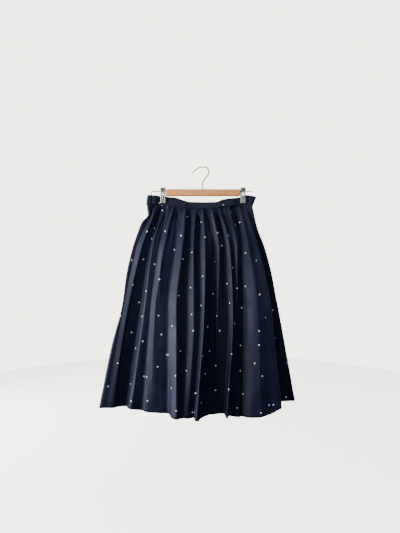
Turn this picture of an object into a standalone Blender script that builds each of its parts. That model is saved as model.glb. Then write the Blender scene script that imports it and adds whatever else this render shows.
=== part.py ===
"""Gathered midi skirt hanging from a wooden clip hanger.

Metres, +Z up, the front of the skirt faces -Y.
The origin is the underside of the hanger hook, where a rail or nail carries it.
The short tables are in millimetres and are turned into metres where they are read.
"""

import math
from collections import namedtuple

import bmesh
import bpy
from mathutils import Matrix, Vector

# Cloth
MM = 0.001
CLOTH_WALL = 0.0013
HEM_WALL = 0.0022
BAND_WALL = 0.0024
SEAM_GAP = 0.0005
SEAT_GAP = 0.0003

# Waistband, measured along the hanger
BAND_LEFT_TURN = -0.169
BAND_RIGHT_TURN_TOP = 0.1635
BAND_RIGHT_TURN_FOOT = 0.1520
LAP_RISE_START = 0.1345
LAP_RISE_END = 0.1385
LAP_START = 0.1400
LAP_SHY = 0.0050
PINCHED_GAP = 1.35
BAND_LEVELS = (1.0, 0.55, 0.12, 0.0)

# across, top height, foot height, half gap at the top, half gap at the foot
Station = namedtuple("Station", "across top foot top_gap foot_gap")
BAND_STATIONS = (
    Station(-176, -88, -117, 5.5, 7.0),
    Station(-166, -87, -117, 5.5, 7.0),
    Station(-148, -88, -117, 5.0, 6.0),
    Station(-134, -90, -118, PINCHED_GAP, PINCHED_GAP),
    Station(-115, -92, -120, PINCHED_GAP, PINCHED_GAP),
    Station(-85, -95.5, -123, 4.5, 7.0),
    Station(-58, -104.5, -127, 6.0, 9.5),
    Station(-38, -109, -130, 6.0, 10.5),
    Station(0, -109.5, -131, 6.0, 11.0),
    Station(40, -109, -130, 6.0, 10.5),
    Station(62, -101.5, -127, 6.0, 9.5),
    Station(90, -97, -123, 4.5, 7.0),
    Station(116, -93.5, -120, PINCHED_GAP, PINCHED_GAP),
    Station(135, -86.5, -117, PINCHED_GAP, PINCHED_GAP),
    Station(150, -88.5, -120, 3.5, 4.0),
    Station(168, -93, -124, 4.0, 4.5),
)

# The heights of the hem under each place across it
Hem = namedtuple("Hem", "across height")
HEM_LINE = (
    Hem(-326, -753),
    Hem(-262, -752),
    Hem(-170, -763),
    Hem(-20, -767),
    Hem(165, -766),
    Hem(232, -755),
    Hem(293, -735),
)

# The side seams: how far out and how far forward they lie
Side = namedtuple("Side", "down left_across left_out right_across right_out")
SIDE_SEAMS = (
    Side(0.000, -176.0, 0.0, 156.4, 0.0),
    Side(0.030, -174.0, 0.0, 160.0, 0.0),
    Side(0.050, -172.0, 0.0, 162.5, -1.0),
    Side(0.085, -191.0, -1.0, 167.5, -2.0),
    Side(0.125, -202.0, -2.0, 174.0, -3.0),
    Side(0.210, -221.0, -4.0, 194.0, -6.0),
    Side(0.350, -241.0, -4.0, 217.0, -10.0),
    Side(0.500, -254.0, -4.0, 235.0, -14.0),
    Side(0.700, -287.0, -4.0, 258.0, -18.0),
    Side(1.000, -326.0, -4.0, 293.0, -24.0),
)

# Where each column of the fold tables is read, as a share of the drop from waist to hem
FOLD_LEVELS = (0.0, 0.21, 0.50, 1.0)
PRESSED_DEPTH = 0.02
OPEN_DEPTH = 0.13
TUCK_FADE = 0.26

# Millimetres: how far a crest stands off the band's line, how near a foot comes to the middle plane,
# a fold pressed flat at the waist, and the reach of its flank's edge as a share of its width
CREST_STAND = 0.4
FOOT_LEAST = 2.4
FOOT_LEAST_HEM = -30.0
PRESSED_WIDTH = 4.0
PRESSED_DROP = 0.8
EDGE_REACH = 0.58

# Each front fold, seen from the left: a foot, a lit flank that rises to a crest, a long slope behind it.
# waist..hem: the crest across; out_*: the crest forward; width_*: foot to crest;
# drop_*: how far the foot lies behind the crest; edge_hem: how far the flank's edge reaches left of the crest
Fold = namedtuple("Fold", "waist upper middle hem out_upper out_middle out_hem "
                          "width_upper width_hem drop_upper drop_hem edge_hem")
FRONT_FOLDS = (
    Fold(-136, -192, -226, -281, 12, 13, 8, 11, 20, 7, 4, 11),
    Fold(-106, -157, -181, -222, 17, 20, 10, 9, 18, 14, 24, 20),
    Fold(-89, -120, -152, -171, 25, 28, 14, 18, 34, 14, 8, 18),
    Fold(-50, -61, -85, -90, 32, 46, 76, 20, 16, 18, 38, 11),
    Fold(-27, -27, -31, -52, 27, 38, 59, 15, 10, 11, 0.5, 5),
    Fold(2, -2, -1, -14, 32, 50, 82, 15, 7, 17, 30, 14),
    Fold(34, 49, 46, 32, 27, 36, 36, 13, 9, 10, 0.5, 5),
    Fold(58, 86, 88, 76, 31, 44, 67, 14, 15, 16, 42, 13),
    Fold(86, 110, 120, 120, 28, 40, 53, 14, 14, 10, 0.5, 8),
    Fold(112, 135, 171, 166, 26, 38, 46, 18, 34, 14, 3, 20),
    Fold(129, 157, 192, 213, 17, 22, 28, 11, 14, 6, 1, 8),
    Fold(145, 176, 214, 246, 8, 8, -2, 8, 12, 5, 4, 7),
)

# The back hangs closer to the wall: its folds are spaced by a rule
BACK_FOLD_COUNT = 9
# the crests: where the first and the last would lie, how far each wanders, and where in its wandering
Crests = namedtuple("Crests", "first last wander phase")
BACK_CRESTS = {
    "waist": Crests(-160, 146, 4, 0.0),
    "upper": Crests(-212, 186, 6, 0.0),
    "middle": Crests(-244, 230, 8, 0.3),
    "hem": Crests(-306, 276, 11, 0.7),
}
# the other columns: a middle value, how far it varies, and whether it fades towards the sides
Middle = namedtuple("Middle", "value wander phase fades")
BACK_SIZES = {
    "out_upper": Middle(20, 2, 1.3, True),
    "out_middle": Middle(29, 2, 1.3, True),
    "out_hem": Middle(39, 3, 1.3, True),
    "width_upper": Middle(15, 3, 0.5, False),
    "width_hem": Middle(26, 6, 0.9, False),
    "drop_upper": Middle(8, 1.5, 1.3, False),
    "drop_hem": Middle(12, 3, 1.3, False),
    "edge_hem": Middle(16, 4, 0.9, False),
}

# Rows down the cloth, closer together under the waist
ROWS = (0.0, 0.02, 0.045, 0.075, 0.11, 0.15, 0.20, 0.26, 0.33, 0.42, 0.52, 0.63, 0.75, 0.86, 0.945, 1.0)
FRONT_SPANS = (2, 2, 1, 1, 2)
BACK_SPANS = (1, 2, 1, 1, 1)
TUCK_RISE = 0.0016
TUCK_ROOM = 0.014
EDGE_FALL = 0.42
SELVEDGE = 0.0012
SHOULDER = 0.010
SHOULDER_ROOM = 0.45
SHOULDER_SHARE = 0.6
SHOULDER_LEAST = 0.004
# share of the way to the next foot, share of the fall to it, and which way a small tuck goes there
SLOPE_POINTS = ((0.34, 0.42, -1), (0.66, 0.80, 1))

# Belt loops, across, and which side of the skirt each is on
LOOP_PLACES = (("front_left", -0.056, -1), ("front_right", 0.053, -1),
               ("back_left", -0.058, 1), ("back_right", 0.060, 1))
LOOP_WIDTH = 0.011
LOOP_WALL = 0.0014
LOOP_BOW = 0.0022
LOOP_TOP_INSET = 0.0006
LOOP_FOOT_INSET = 0.0014
LOOP_STEPS = 7
LOOP_STAND = 0.0005

# Button on the lapped end of the waistband
BUTTON_RADIUS = 0.0056
BUTTON_WALL = 0.0024
BUTTON_STAND = 0.0008
BUTTON_ACROSS = 0.1470
BUTTON_HEIGHT = -0.1040
BUTTON_HOLE = 0.0008
BUTTON_HOLE_SPREAD = 0.0014

# Hanger
BAR_LEFT = -0.1156
BAR_RIGHT = 0.1168
BAR_TOP = -0.069
BAR_BOTTOM = -0.0895
BAR_DEPTH = 0.017
BAR_ROUND = 0.0028
ROD_RADIUS = 0.0015
ROD_HEIGHT = -0.075
ROD_LEFT = -0.162
ROD_RIGHT = 0.154
ROD_BEND = 0.004
ROD_TAIL = 0.012
HOOK_RADIUS = 0.0018
HOOK_SEAT = -0.0715
HOOK_PATH = ((0.0, -47.0), (2.4, -41.5), (9.5, -32.5), (16.0, -24.0), (18.9, -14.5), (17.0, -6.0),
             (11.0, -0.2), (1.5, 1.8), (-8.5, 0.4), (-17.0, -3.8), (-25.0, -10.0), (-33.0, -17.0))

# Clips
CLIP_PLACES = (("left", -0.1246), ("right", 0.1260))
CLIP_WIDTH = 0.017
JAW_WALL = 0.0012
PAD_WALL = 0.0015
PAD_WIDTH = 0.0144
PAD_TOP = -0.1015
PAD_BOTTOM = -0.1132
EAR_REACH = 0.0021
# distance from the middle plane, height, whether the side ears run down from this point
Bend = namedtuple("Bend", "away height ear")
JAW_BENDS = (
    Bend(9.6, -64.4, False),
    Bend(8.6, -69.0, False),
    Bend(6.2, -72.5, True),
    Bend(5.1, -77.5, False),
    Bend(6.6, -90.0, False),
    Bend(5.25, -99.5, False),
    Bend(5.25, -112.6, False),
)
SPRING_LENGTH = 0.0125
SPRING_BORE = 0.0019
SPRING_RADIUS = 0.0040
SPRING_COILS = 4


def curve_through(keys, values, place):
    """Value at place on a smooth curve that never overshoots its own points."""
    last = len(keys) - 1
    if place <= keys[0]:
        return values[0]
    if place >= keys[last]:
        return values[last]
    slopes = [(values[i + 1] - values[i]) / (keys[i + 1] - keys[i]) for i in range(last)]
    lean = [slopes[0]]
    for before, after in zip(slopes, slopes[1:]):
        lean.append(0.0 if before * after <= 0 else 2 * before * after / (before + after))
    lean.append(slopes[-1])
    i = max(n for n in range(last) if keys[n] <= place)
    step = keys[i + 1] - keys[i]
    t = (place - keys[i]) / step
    return ((1 + 2 * t) * (1 - t) ** 2 * values[i] + t * (1 - t) ** 2 * step * lean[i]
            + t * t * (3 - 2 * t) * values[i + 1] + t * t * (t - 1) * step * lean[i + 1])


def smooth(t):
    t = min(max(t, 0.0), 1.0)
    return t * t * (3 - 2 * t)


def mix(a, b, t):
    return a + (b - a) * t


def band_value(column, across):
    """One column of the waistband table at a place across, both in metres."""
    keys = [station.across * MM for station in BAND_STATIONS]
    values = [getattr(station, column) * MM for station in BAND_STATIONS]
    return curve_through(keys, values, across)


def side_value(column, down):
    keys = [side.down for side in SIDE_SEAMS]
    return curve_through(keys, [getattr(side, column) * MM for side in SIDE_SEAMS], down)


def hem_height(across):
    keys = [hem.across * MM for hem in HEM_LINE]
    return curve_through(keys, [hem.height * MM for hem in HEM_LINE], across)


def spline(points, spans, first_lean, last_lean):
    """Points along a curve through the given ones, with spans[i] steps between two of them."""
    before = points[0] - first_lean
    after = points[-1] + last_lean
    chain = [before, *points, after]
    found = [points[0].copy()]
    for i in range(1, len(chain) - 2):
        p0, p1, p2, p3 = chain[i - 1:i + 3]
        gaps = [max(math.sqrt((b - a).length), 1e-6) for a, b in ((p0, p1), (p1, p2), (p2, p3))]
        d1, d2, d3 = gaps
        lean1 = (p1 - p0) / d1 - (p2 - p0) / (d1 + d2) + (p2 - p1) / d2
        lean2 = (p2 - p1) / d2 - (p3 - p1) / (d2 + d3) + (p3 - p2) / d3
        steps = spans[(i - 1) % len(spans)]
        for n in range(1, steps + 1):
            t = n / steps
            found.append((1 + 2 * t) * (1 - t) ** 2 * p1 + t * (1 - t) ** 2 * d2 * lean1
                         + t * t * (3 - 2 * t) * p2 + t * t * (t - 1) * d2 * lean2)
    return found


def fold_at(fold, down):
    """A fold's crest, width, drop and edge at one share of the drop, in metres."""
    crest = curve_through(FOLD_LEVELS, (fold.waist, fold.upper, fold.middle, fold.hem), down)
    opened = smooth((down - PRESSED_DEPTH) / (OPEN_DEPTH - PRESSED_DEPTH))
    lower = smooth((down - FOLD_LEVELS[1]) / (1 - FOLD_LEVELS[1]))
    width = mix(mix(PRESSED_WIDTH, fold.width_upper, opened), fold.width_hem, lower)
    drop = mix(mix(PRESSED_DROP, fold.drop_upper, opened), fold.drop_hem, lower)
    edge = mix(EDGE_REACH * mix(PRESSED_WIDTH, fold.width_upper, opened), fold.edge_hem, lower)
    out = curve_through(FOLD_LEVELS, (0.0, fold.out_upper, fold.out_middle, fold.out_hem), down)
    out += (band_value("foot_gap", crest * MM) / MM + CREST_STAND) * (1 - smooth(down / FOLD_LEVELS[1]))
    drop = min(drop, out - mix(FOOT_LEAST, FOOT_LEAST_HEM, lower))
    return crest * MM, width * MM, drop * MM, edge * MM, out * MM


def side_turn(side, inward, neighbour, opened):
    """The point where a panel turns away from its side seam: on the band's end at the waist, softer below."""
    across, out = side
    at_band = band_value("foot_gap", across)
    room = abs(neighbour[0] - across)
    soft_across = min(SHOULDER_ROOM * room, SHOULDER)
    soft_out = max(SHOULDER_SHARE * (neighbour[1] - out), SHOULDER_LEAST)
    return across + inward * mix(at_band, soft_across, opened), out + mix(at_band, soft_out, opened)


def panel_section(folds, spans, down, facing, first_side, last_side):
    """Plan of one panel at one share of its drop: crests, feet and the small tucks between them."""
    opened = smooth(down / FOLD_LEVELS[1])
    tuck = TUCK_RISE * smooth(down / 0.05) * (1 - smooth((down - 0.10) / (TUCK_FADE - 0.10)))
    marks = [fold_at(fold, down) for fold in folds]
    feet = [(crest - width, out - drop) for crest, width, drop, edge, out in marks]
    first_turn = side_turn(first_side, 1, feet[0], opened)
    last_turn = side_turn(last_side, -1, (marks[-1][0], marks[-1][4]), opened)
    points = [first_turn]
    for (crest, width, drop, edge, out), foot, following in zip(marks, feet, [*feet[1:], last_turn]):
        points += [foot, (crest - edge, out - EDGE_FALL * drop), (crest, out)]
        room = following[0] - crest
        ripple = tuck * min(room / TUCK_ROOM, 1.0)
        for share, fall, sign in SLOPE_POINTS:
            points.append((crest + share * room, mix(out, following[1], fall) + sign * ripple))
    points.append(last_turn)
    ends = []
    for across, out in (first_side, last_side):
        ends.append([(across, out + SEAM_GAP / 2), (across, out + SEAM_GAP / 2 + SELVEDGE)])
    points = [*ends[0], *points, *ends[1][::-1]]
    knots = [Vector((across, facing * out)) for across, out in points]
    edge = Vector((0.0, facing * SELVEDGE))
    return spline(knots, (1, 2, 2, *(spans * len(folds)), 2, 1), edge, -edge)


def uneven(number, share):
    """A repeatable unevenness from -1 to 1 for the back's folds."""
    return math.sin(number * 2.399 + share * 5.1) * math.cos(number * 1.17 + share)


def back_folds():
    """The back's folds in the same columns: evenly spread, then wandering, and flatter towards the sides."""
    folds = []
    for i in range(BACK_FOLD_COUNT):
        place = (i + 0.75) / (BACK_FOLD_COUNT + 0.4)
        spread = math.sin(math.pi * place) ** 0.35
        columns = {}
        for column, crests in BACK_CRESTS.items():
            columns[column] = mix(crests.first, crests.last, place) + crests.wander * uneven(i, crests.phase)
        for column, size in BACK_SIZES.items():
            value = size.value * (spread if size.fades else 1.0)
            columns[column] = value + size.wander * uneven(i, size.phase)
        folds.append(Fold(**columns))
    return tuple(folds)


def material(name, color, roughness, metallic=0.0):
    made = bpy.data.materials.new(name)
    made.use_nodes = True
    shader = made.node_tree.nodes["Principled BSDF"]
    shader.inputs["Base Color"].default_value = (*color, 1.0)
    shader.inputs["Roughness"].default_value = roughness
    shader.inputs["Metallic"].default_value = metallic
    return made


def place_object(name, data, finish, collection):
    made = bpy.data.objects.new(name, data)
    collection.objects.link(made)
    data.materials.append(finish)
    return made


def grid_mesh(name, rows, closed=False):
    """An open sheet of quads through rows of points, all of one length."""
    mesh = bpy.data.meshes.new(name)
    width = len(rows[0])
    points = [point for row in rows for point in row]
    quads = []
    for r in range(len(rows) - 1):
        for c in range(width - (0 if closed else 1)):
            right = (c + 1) % width
            quads.append((r * width + c, (r + 1) * width + c, (r + 1) * width + right, r * width + right))
    mesh.from_pydata(points, [], quads)
    mesh.update()
    return mesh


def thicken(sheet, wall, group=None, thin_share=1.0):
    solid = sheet.modifiers.new("wall", "SOLIDIFY")
    solid.thickness = wall
    solid.offset = 0.0
    solid.use_rim = True
    if group:
        solid.vertex_group = group
        solid.thickness_vertex_group = thin_share
    return solid


def build_panel(name, folds, spans, facing, finish, collection):
    """A gathered panel: one row of points for each height, with the hem's turned-up edge thicker."""
    rows = []
    for down in ROWS:
        left = (side_value("left_across", down), side_value("left_out", down) * -facing)
        right = (side_value("right_across", down), side_value("right_out", down) * -facing)
        section = panel_section(folds, spans, down, facing, left, right)
        rows.append((down, section))
    top = [band_value("foot", point.x) - SEAM_GAP for point in rows[0][1]]
    bottom = [hem_height(point.x) for point in rows[-1][1]]
    points = []
    for down, section in rows:
        points.append([(p.x, p.y, mix(top[i], bottom[i], down)) for i, p in enumerate(section)])
    if facing > 0:
        points = [row[::-1] for row in points]
    panel = place_object(name, grid_mesh(name, points), finish, collection)
    hem = panel.vertex_groups.new(name="hem")
    width = len(points[0])
    for r, down in enumerate(ROWS):
        if down >= ROWS[-2]:
            hem.add(range(r * width, (r + 1) * width), 1.0, "REPLACE")
    thicken(panel, HEM_WALL, "hem", CLOTH_WALL / HEM_WALL)
    panel.data.shade_smooth()
    return panel


def band_lean(level):
    """How far the band has leaned in at one level: its lower part stands upright."""
    upright, waisted = BAND_LEVELS[2], BAND_LEVELS[1]
    if level <= upright:
        return 0.0
    if level <= waisted:
        return 0.6 * (level - upright) / (waisted - upright)
    return mix(0.6, 1.0, (level - waisted) / (1 - waisted))


def band_gap(across, level):
    return mix(band_value("foot_gap", across), band_value("top_gap", across), band_lean(level))


def band_plan(level):
    """Plan of the waistband at one level, 0 at its foot and 1 at its top, from end to end."""
    def run(start, end, count):
        return [mix(start, end, n / count) for n in range(count + 1)]

    def turn(centre, side):
        radius = band_gap(centre, level)
        angles = [math.pi * n / 8 for n in range(1, 8)]
        return [(centre + side * radius * math.sin(a), side * radius * math.cos(a)) for a in angles]

    right_turn = mix(BAND_RIGHT_TURN_FOOT, BAND_RIGHT_TURN_TOP, level)
    plan = [(x, band_gap(x, level)) for x in run(LAP_START, right_turn, 3)]
    plan += turn(right_turn, 1)
    plan += [(x, -band_gap(x, level)) for x in run(right_turn, BAND_LEFT_TURN, 40)]
    plan += turn(BAND_LEFT_TURN, -1)
    plan += [(x, band_gap(x, level)) for x in run(BAND_LEFT_TURN, LAP_RISE_START, 36)]
    for x in run(LAP_RISE_START, right_turn - LAP_SHY, 6)[1:]:
        plan.append((x, band_gap(x, level) + lap_rise(x)))
    return plan


def lap_rise(across):
    """How far the lapped end stands off the band's own start under it."""
    return (BAND_WALL + SEAM_GAP) * smooth((across - LAP_RISE_START) / (LAP_RISE_END - LAP_RISE_START))


def build_waistband(finish, collection):
    """One folded strip from its start, round the front and the back, to the lapped end."""
    rows = []
    for level in BAND_LEVELS:
        row = []
        for x, y in band_plan(level):
            row.append((x, y, mix(band_value("foot", x), band_value("top", x), level)))
        rows.append(row)
    band = place_object("waistband", grid_mesh("waistband", rows), finish, collection)
    thicken(band, BAND_WALL)
    band.data.shade_smooth()
    return band


def build_belt_loop(side_name, across, facing, finish, collection):
    """A narrow strip sewn to the band at its top and foot, bowed between them."""
    band_top = band_value("top", across)
    band_foot = band_value("foot", across)
    rows = []
    for n in range(LOOP_STEPS + 1):
        share = n / LOOP_STEPS
        height = mix(band_top - LOOP_TOP_INSET, band_foot + LOOP_FOOT_INSET, share)
        level = (height - band_foot) / (band_top - band_foot)
        bow = LOOP_BOW * math.sin(math.pi * share) ** 0.7
        row = []
        for side in (-1, 0, 1):
            x = across + side * LOOP_WIDTH / 2
            away = band_gap(x, level) + BAND_WALL / 2 + LOOP_STAND + LOOP_WALL / 2 + bow
            row.append((x, facing * away, height))
        rows.append(row if facing < 0 else row[::-1])
    name = "belt_loop_" + side_name
    loop = place_object(name, grid_mesh(name, rows), finish, collection)
    thicken(loop, LOOP_WALL)
    return loop


def add_cylinder(name, radius, length, sides, turn, centre, collection, finish=None):
    mesh = bpy.data.meshes.new(name)
    shape = bmesh.new()
    bmesh.ops.create_cone(shape, cap_ends=True, segments=sides, radius1=radius, radius2=radius, depth=length)
    shape.to_mesh(mesh)
    shape.free()
    made = bpy.data.objects.new(name, mesh)
    made.matrix_world = Matrix.Translation(centre) @ turn
    collection.objects.link(made)
    if finish:
        mesh.materials.append(finish)
    return made


def cut(target, cutter):
    cutter.hide_render = True
    cutter.display_type = "WIRE"
    trim = target.modifiers.new("cut", "BOOLEAN")
    trim.operation = "DIFFERENCE"
    trim.solver = "EXACT"
    trim.object = cutter


def build_button(finish, collection, cutters):
    foot = band_value("foot", BUTTON_ACROSS)
    level = (BUTTON_HEIGHT - foot) / (band_value("top", BUTTON_ACROSS) - foot)
    lap = band_gap(BUTTON_ACROSS, level) + lap_rise(BUTTON_ACROSS)
    away = lap + BAND_WALL / 2 + BUTTON_STAND + BUTTON_WALL / 2
    upright = Matrix.Rotation(math.radians(90), 4, "X")
    centre = Vector((BUTTON_ACROSS, away, BUTTON_HEIGHT))
    button = add_cylinder("button", BUTTON_RADIUS, BUTTON_WALL, 20, upright, centre, collection, finish)
    soften = button.modifiers.new("rounded rim", "BEVEL")
    soften.width = 0.0007
    soften.segments = 2
    soften.limit_method = "ANGLE"
    for x, z in ((1, 1), (1, -1), (-1, 1), (-1, -1)):
        place = centre + Vector((x, 0.0, z)) * BUTTON_HOLE_SPREAD
        hole = add_cylinder("button hole", BUTTON_HOLE, 3 * BUTTON_WALL, 10, upright, place, cutters)
        cut(button, hole)
    return button


def wire(name, points, radius, finish, collection):
    """A bent wire: a poly curve through the points, with closed ends."""
    curve = bpy.data.curves.new(name, "CURVE")
    curve.dimensions = "3D"
    curve.bevel_depth = radius
    curve.bevel_resolution = 2
    curve.use_fill_caps = True
    path = curve.splines.new("POLY")
    path.points.add(len(points) - 1)
    for knot, point in zip(path.points, points):
        knot.co = (*point, 1.0)
    return place_object(name, curve, finish, collection)


def corner(centre, radius, first, last, count, plane):
    """Points of a quarter bend; plane turns (right, up) into a point."""
    angles = [math.radians(mix(first, last, n / count)) for n in range(count + 1)]
    return [plane(centre[0] + radius * math.cos(a), centre[1] + radius * math.sin(a)) for a in angles]


def build_hanger(wood, steel, collection, cutters):
    size = Vector((BAR_RIGHT - BAR_LEFT, BAR_DEPTH, BAR_TOP - BAR_BOTTOM))
    centre = Vector(((BAR_RIGHT + BAR_LEFT) / 2, 0.0, (BAR_TOP + BAR_BOTTOM) / 2))
    mesh = bpy.data.meshes.new("hanger_bar")
    shape = bmesh.new()
    bmesh.ops.create_cube(shape, size=1.0)
    bmesh.ops.scale(shape, vec=size, verts=shape.verts)
    shape.to_mesh(mesh)
    shape.free()
    bar = place_object("hanger_bar", mesh, wood, collection)
    bar.location = centre
    rounded = bar.modifiers.new("rounded edges", "BEVEL")
    rounded.width = BAR_ROUND
    rounded.segments = 3
    along = Matrix.Rotation(math.radians(90), 4, "Y")
    rod_place = Vector((centre.x, 0.0, ROD_HEIGHT))
    cut(bar, add_cylinder("rod hole", ROD_RADIUS + SEAT_GAP, 0.3, 16, along, rod_place, cutters))
    hook_hole = Vector((0.0, 0.0, HOOK_SEAT - SEAT_GAP + 0.005))
    cut(bar, add_cylinder("hook hole", HOOK_RADIUS + SEAT_GAP, 0.010, 16, Matrix(), hook_hole, cutters))

    left_bend = (ROD_LEFT + ROD_BEND, ROD_HEIGHT - ROD_BEND)
    rod = [(ROD_LEFT, 0.0, left_bend[1] - ROD_TAIL)]
    rod += corner(left_bend, ROD_BEND, 180, 90, 4, lambda across, up: (across, 0.0, up))
    right_bend = (ROD_RIGHT - ROD_BEND, ROD_BEND)
    rod += corner(right_bend, ROD_BEND, 270, 360, 4, lambda across, back: (across, back, ROD_HEIGHT))
    rod.append((ROD_RIGHT, ROD_BEND + ROD_TAIL / 2, ROD_HEIGHT))
    wire("hanger_rod", rod, ROD_RADIUS, steel, collection)

    knots = [Vector(knot) * MM for knot in HOOK_PATH]
    bends = spline(knots, (2,), Vector((0.0, 0.006)), Vector((-0.006, -0.005)))
    hook = [(0.0, 0.0, HOOK_SEAT)] + [(bend.x, 0.0, bend.y) for bend in bends]
    wire("hanger_hook", hook, HOOK_RADIUS, steel, collection)


def build_jaw(name, across, facing, finish, collection):
    """A bent steel plate with two side ears that reach in to the rod."""
    half = CLIP_WIDTH / 2 - JAW_WALL / 2
    mesh = bpy.data.meshes.new(name)
    shape = bmesh.new()
    rows = []
    for bend in JAW_BENDS:
        away = facing * bend.away * MM
        rows.append([shape.verts.new((across + side * half, away, bend.height * MM)) for side in (-1, 1)])
    for upper, lower in zip(rows, rows[1:]):
        shape.faces.new((upper[0], lower[0], lower[1], upper[1]))
    for i, bend in enumerate(JAW_BENDS):
        if bend.ear:
            for side, column in ((-1, 0), (1, 1)):
                reach = [shape.verts.new((across + side * half, facing * EAR_REACH, JAW_BENDS[n].height * MM))
                         for n in (i, i + 1)]
                shape.faces.new((rows[i][column], reach[0], reach[1], rows[i + 1][column]))
    bmesh.ops.recalc_face_normals(shape, faces=shape.faces)
    shape.to_mesh(mesh)
    shape.free()
    jaw = place_object(name, mesh, finish, collection)
    thicken(jaw, JAW_WALL)
    return jaw


def build_pad(name, across, facing, finish, collection):
    inner = PINCHED_GAP * MM + BAND_WALL / 2 + SEAT_GAP
    size = Vector((PAD_WIDTH, PAD_WALL, PAD_TOP - PAD_BOTTOM))
    mesh = bpy.data.meshes.new(name)
    shape = bmesh.new()
    bmesh.ops.create_cube(shape, size=1.0)
    bmesh.ops.scale(shape, vec=size, verts=shape.verts)
    shape.to_mesh(mesh)
    shape.free()
    pad = place_object(name, mesh, finish, collection)
    pad.location = (across, facing * (inner + PAD_WALL / 2), (PAD_TOP + PAD_BOTTOM) / 2)
    soften = pad.modifiers.new("soft edges", "BEVEL")
    soften.width = 0.0004
    soften.segments = 1
    return pad


def build_spring(name, across, finish, collection):
    """The spring sleeve round the rod, turned about its axis with a groove between coils."""
    mesh = bpy.data.meshes.new(name)
    pitch = SPRING_LENGTH / SPRING_COILS
    outer = []
    for coil in range(SPRING_COILS):
        start = -SPRING_LENGTH / 2 + coil * pitch
        outer += [(SPRING_RADIUS - 0.0006, start), (SPRING_RADIUS, start + pitch / 2)]
    outer.append((SPRING_RADIUS - 0.0006, SPRING_LENGTH / 2))
    profile = outer[::-1] + [(SPRING_BORE, -SPRING_LENGTH / 2), (SPRING_BORE, SPRING_LENGTH / 2)]
    edges = [(i, (i + 1) % len(profile)) for i in range(len(profile))]
    mesh.from_pydata([(radius, 0.0, along) for radius, along in profile], edges, [])
    spring = place_object(name, mesh, finish, collection)
    spring.location = (across, 0.0, ROD_HEIGHT)
    spring.rotation_euler = (0.0, math.radians(90), 0.0)
    screw = spring.modifiers.new("turned", "SCREW")
    screw.steps = 10
    screw.render_steps = 10
    screw.use_merge_vertices = True
    screw.merge_threshold = 0.0001
    return spring


def build_clips(steel, rubber, collection):
    for side_name, across in CLIP_PLACES:
        for face_name, facing in (("front", -1), ("back", 1)):
            build_jaw("clip_%s_%s_jaw" % (side_name, face_name), across, facing, steel, collection)
            build_pad("clip_%s_%s_pad" % (side_name, face_name), across, facing, rubber, collection)
        build_spring("clip_%s_spring" % side_name, across, steel, collection)


def build_skirt():
    for old in list(bpy.data.objects):
        bpy.data.objects.remove(old)
    skirt = bpy.data.collections.new("gathered_skirt_on_hanger")
    cutters = bpy.data.collections.new("cutters")
    for collection in (skirt, cutters):
        bpy.context.scene.collection.children.link(collection)
    cloth = material("navy satin", (0.018, 0.026, 0.055), 0.42)
    horn = material("navy button", (0.02, 0.025, 0.045), 0.3)
    wood = material("beech", (0.66, 0.40, 0.22), 0.5)
    steel = material("chromed steel", (0.62, 0.62, 0.60), 0.25, 1.0)
    rubber = material("black rubber", (0.02, 0.02, 0.02), 0.8)

    build_panel("front_panel", FRONT_FOLDS, FRONT_SPANS, -1, cloth, skirt)
    build_panel("back_panel", back_folds(), BACK_SPANS, 1, cloth, skirt)
    build_waistband(cloth, skirt)
    for side_name, across, facing in LOOP_PLACES:
        build_belt_loop(side_name, across, facing, cloth, skirt)
    build_button(horn, skirt, cutters)
    build_hanger(wood, steel, skirt, cutters)
    build_clips(steel, rubber, skirt)


build_skirt()
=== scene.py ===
import math
from collections import namedtuple

import bpy
import numpy as np
from mathutils import Matrix, Vector, noise


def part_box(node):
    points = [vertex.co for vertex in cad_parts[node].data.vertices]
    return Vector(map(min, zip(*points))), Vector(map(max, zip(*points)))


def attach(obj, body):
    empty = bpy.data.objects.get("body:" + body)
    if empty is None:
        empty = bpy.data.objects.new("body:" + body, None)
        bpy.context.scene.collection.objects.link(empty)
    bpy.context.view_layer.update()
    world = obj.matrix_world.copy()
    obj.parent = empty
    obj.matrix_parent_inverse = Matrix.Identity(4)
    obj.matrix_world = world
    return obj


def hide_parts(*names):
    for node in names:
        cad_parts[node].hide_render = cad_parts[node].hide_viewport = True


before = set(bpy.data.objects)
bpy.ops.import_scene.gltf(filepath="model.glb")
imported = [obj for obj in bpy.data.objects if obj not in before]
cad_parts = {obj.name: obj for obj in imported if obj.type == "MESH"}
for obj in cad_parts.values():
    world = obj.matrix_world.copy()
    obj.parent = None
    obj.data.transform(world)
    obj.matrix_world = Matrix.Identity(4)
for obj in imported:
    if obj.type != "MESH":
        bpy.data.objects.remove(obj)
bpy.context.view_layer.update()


# Front panel: one width of plain cotton sateen, dark navy with a soft sheen and small off-white dots.
# The maker gathers its upper edge into the waistband and turns up and stitches the hem.
# The tables hold its outline and main folds in millimetres, from the waist down to the hem.
MM = 0.001
CLOTH_WALL = 0.0012
SEWN_GAP = 0.00002
PANEL_ROWS = 104
ROW_CROWDING = 1.25

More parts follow.
